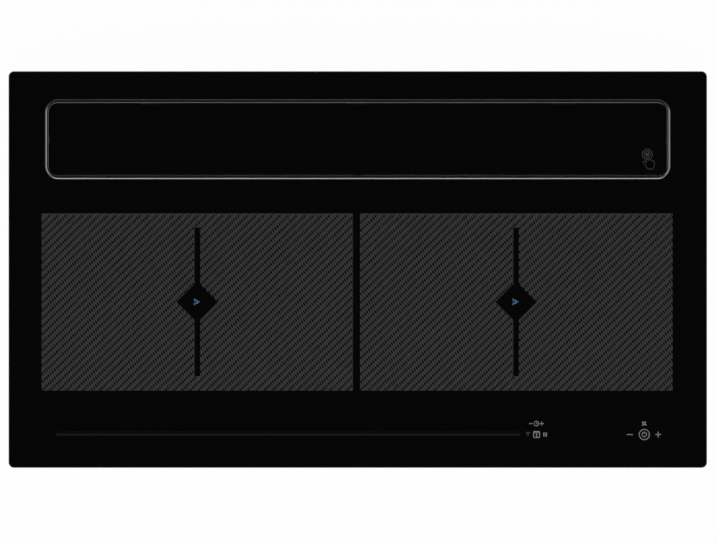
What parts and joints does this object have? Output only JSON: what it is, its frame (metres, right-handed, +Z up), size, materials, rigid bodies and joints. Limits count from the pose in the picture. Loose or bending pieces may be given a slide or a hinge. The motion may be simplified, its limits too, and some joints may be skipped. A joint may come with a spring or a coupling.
{
  "type": "downdraft cooktop",
  "caption": "Black glass induction cooktop with a tilting-lid downdraft intake along its rear, lift-out filter basket, fan scroll and flat-duct outlet below.",
  "frame": {"origin": "middle of the worktop plane, on the underside of the seal", "axes": "+X to the right of a person at the controls, +Y to the rear with the intake, +Z up"},
  "size_m": [0.9, 0.511, 0.2091],
  "materials": {
    "black_glass": "polished black glass-ceramic",
    "bezel_metal": "dark satin",
    "tray_sheet": "galvanised sheet",
    "lid_sheet": "black coated sheet",
    "basket_plastic": "fine grained",
    "filter_metal": "satin",
    "soft_rubber": "matt",
    "bearing_plastic": "plain",
    "gear_plastic": "plain",
    "damper_plastic": "plain",
    "plain_steel": "zinc plated",
    "housing_plastic": "grained",
    "impeller_plastic": "moulded",
    "motor_metal": "cast",
    "leaf_plastic": "plain",
    "tray_plastic": "moulded",
    "copper": "enamelled strands",
    "mica": "flaky sheet",
    "ferrite": "sintered",
    "plate_metal": "mill finish",
    "sensor_plastic": "plain",
    "board": "solder mask",
    "capacitor": "sleeved",
    "terminal_plastic": "plain"
  },
  "bodies": {
    "housing": {"glass_top": "black_glass", "base_tray": "tray_sheet", "worktop_seal": "soft_rubber", "hopper_gasket": "soft_rubber", "motor_grommets": "soft_rubber", "leaf_pin": "plain_steel", "motor_bearings": "plain_steel", "housing_screws": "plain_steel", "fan_screws": "plain_steel", "clamp_screws": "plain_steel", "clamp_brackets": "plain_steel", "intake_hopper": "housing_plastic", "suction_box": "housing_plastic", "scroll_upper": "housing_plastic", "scroll_lower": "housing_plastic", "outlet_box": "housing_plastic", "terminal_box": "housing_plastic", "driver_box": "housing_plastic", "touch_carrier": "housing_plastic", "cooler_frames": "housing_plastic", "motor_stator": "motor_metal", "coil_windings_left": "copper", "coil_windings_right": "copper", "insulation_sheets": "mica", "ferrite_bars": "ferrite", "coil_plates": "plate_metal", "heat_sinks": "plate_metal", "coil_sensors": "sensor_plastic", "touch_pads": "sensor_plastic", "support_posts": "sensor_plastic", "power_boards": "board", "touch_board": "board", "board_capacitors": "capacitor", "terminal_block": "terminal_plastic", "cable_gland": "terminal_plastic"},
    "insert": {"intake_bezel": "bezel_metal", "filter_basket": "basket_plastic", "filter_ledge": "basket_plastic", "pivot_bushes": "bearing_plastic", "filter_frame_left": "filter_metal", "filter_frame_right": "filter_metal", "filter_sheets": "filter_metal", "lid_stops": "soft_rubber", "damper_body": "damper_plastic"},
    "lid": {"lid_glass": "black_glass", "lid_carrier": "lid_sheet", "lid_pins": "plain_steel", "lid_sector": "gear_plastic"},
    "damper": {"damper_pinion": "gear_plastic"},
    "fan": {"impeller": "impeller_plastic", "motor_rotor": "motor_metal"},
    "cooler_left": {"cooler_rotor_left": "impeller_plastic"},
    "cooler_right": {"cooler_rotor_right": "impeller_plastic"},
    "leaf_left": {"backdraft_leaf_left": "leaf_plastic"},
    "leaf_right": {"backdraft_leaf_right": "leaf_plastic"},
    "overflow": {"overflow_tray": "tray_plastic"},
    "claw_left_front": {"clamp_claw_left_front": "plain_steel"},
    "claw_left_rear": {"clamp_claw_left_rear": "plain_steel"},
    "claw_right_front": {"clamp_claw_right_front": "plain_steel"},
    "claw_right_rear": {"clamp_claw_right_rear": "plain_steel"}
  },
  "joints": [
    {"name": "insert_lift", "type": "slide", "parent": "housing", "child": "insert", "axis": [0, 0, 1], "range_m": [0, 0.1]},
    {"name": "lid_tilt", "type": "hinge", "parent": "insert", "child": "lid", "pos_m": [0, 0.168, -0.004], "axis": [1, 0, 0], "range_deg": [0, 80]},
    {"name": "damper_turn", "type": "hinge", "parent": "insert", "child": "damper", "pos_m": [0.3805, 0.18497, -0.02097], "axis": [1, 0, 0], "range_deg": [-240, 0]},
    {"name": "fan_spin", "type": "hinge", "parent": "housing", "child": "fan", "pos_m": [-0.06, -0.05, -0.1525], "axis": [0, 0, 1], "continuous": true},
    {"name": "cooler_left_spin", "type": "hinge", "parent": "housing", "child": "cooler_left", "pos_m": [-0.365, -0.06, -0.0485], "axis": [0, 0, 1], "continuous": true},
    {"name": "cooler_right_spin", "type": "hinge", "parent": "housing", "child": "cooler_right", "pos_m": [0.365, -0.06, -0.0485], "axis": [0, 0, 1], "continuous": true},
    {"name": "leaf_left_swing", "type": "hinge", "parent": "housing", "child": "leaf_left", "pos_m": [0.07, 0.13, -0.1525], "axis": [0, 0, -1], "range_deg": [0, 75], "stiffness_Nm_per_rad": 0.004},
    {"name": "leaf_right_swing", "type": "hinge", "parent": "housing", "child": "leaf_right", "pos_m": [0.07, 0.13, -0.1525], "axis": [0, 0, 1], "range_deg": [0, 75], "stiffness_Nm_per_rad": 0.004},
    {"name": "overflow_slide", "type": "slide", "parent": "housing", "child": "overflow", "axis": [0, -1, 0], "range_m": [0, 0.15]},
    {"name": "claw_left_front_turn", "type": "hinge", "parent": "housing", "child": "claw_left_front", "pos_m": [-0.4255, -0.15, -0.045], "axis": [0, 0, 1], "range_deg": [0, 90]},
    {"name": "claw_left_rear_turn", "type": "hinge", "parent": "housing", "child": "claw_left_rear", "pos_m": [-0.4255, 0.15, -0.045], "axis": [0, 0, -1], "range_deg": [0, 90]},
    {"name": "claw_right_front_turn", "type": "hinge", "parent": "housing", "child": "claw_right_front", "pos_m": [0.4255, -0.15, -0.045], "axis": [0, 0, -1], "range_deg": [0, 90]},
    {"name": "claw_right_rear_turn", "type": "hinge", "parent": "housing", "child": "claw_right_rear", "pos_m": [0.4255, 0.15, -0.045], "axis": [0, 0, 1], "range_deg": [0, 90]}
  ],
  "couplings": [
    {"joint": "damper_turn", "follows": "lid_tilt", "ratio": -3}
  ]
}
